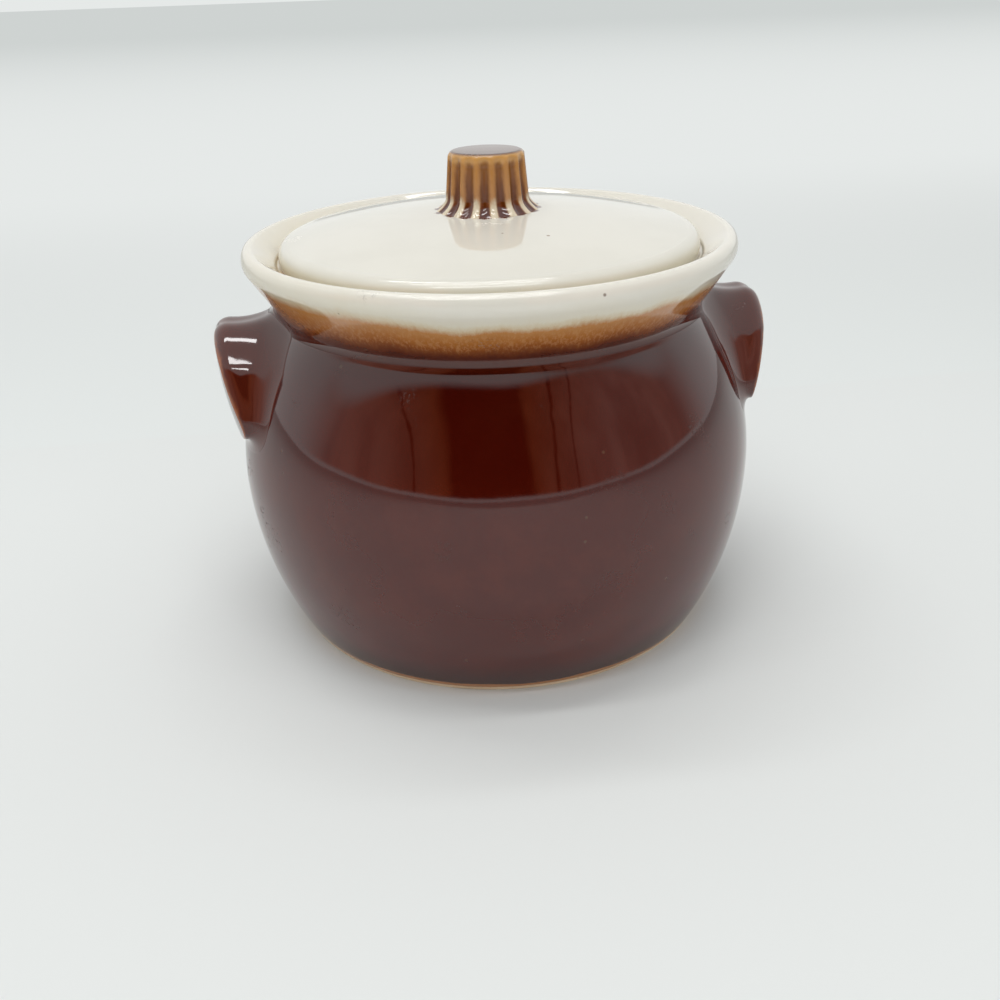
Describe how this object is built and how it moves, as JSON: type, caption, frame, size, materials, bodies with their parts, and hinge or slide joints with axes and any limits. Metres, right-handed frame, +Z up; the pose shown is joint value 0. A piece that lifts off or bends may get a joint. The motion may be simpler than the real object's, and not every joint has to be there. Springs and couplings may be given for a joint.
{
  "type": "bean pot",
  "caption": "Round-bellied glazed stoneware bean pot with a flared cream rim, two lug ears and a loose domed lid with a fluted knob.",
  "frame": {"origin": "centre of the foot ring, on the surface that the pot stands on", "axes": "+X through the middle of the right ear, +Z up out of the mouth"},
  "size_m": [0.1844, 0.1754, 0.1561],
  "materials": {
    "bare_stoneware": "unglazed, matt, fired buff clay",
    "brown_glaze": "glossy chestnut-brown glaze breaking to caramel near the rim",
    "cream_glaze": "glossy cream glaze with sparse brown specks",
    "ear_glaze": "glossy brown glaze breaking to amber on the edges",
    "lid_glaze": "glossy cream glaze with sparse brown specks",
    "knob_glaze": "glossy amber glaze, dark brown in the flutes"
  },
  "bodies": {
    "pot": {"pot_body": "bare_stoneware", "outer_glaze": "brown_glaze", "liner_glaze": "cream_glaze", "left_ear": "ear_glaze", "right_ear": "ear_glaze"},
    "lid": {"lid_plate": "lid_glaze", "lid_knob": "knob_glaze"}
  },
  "joints": [
    {"name": "lid_lift", "type": "slide", "parent": "pot", "child": "lid", "axis": [0, 0, 1], "range_m": [0, 0.12]}
  ]
}
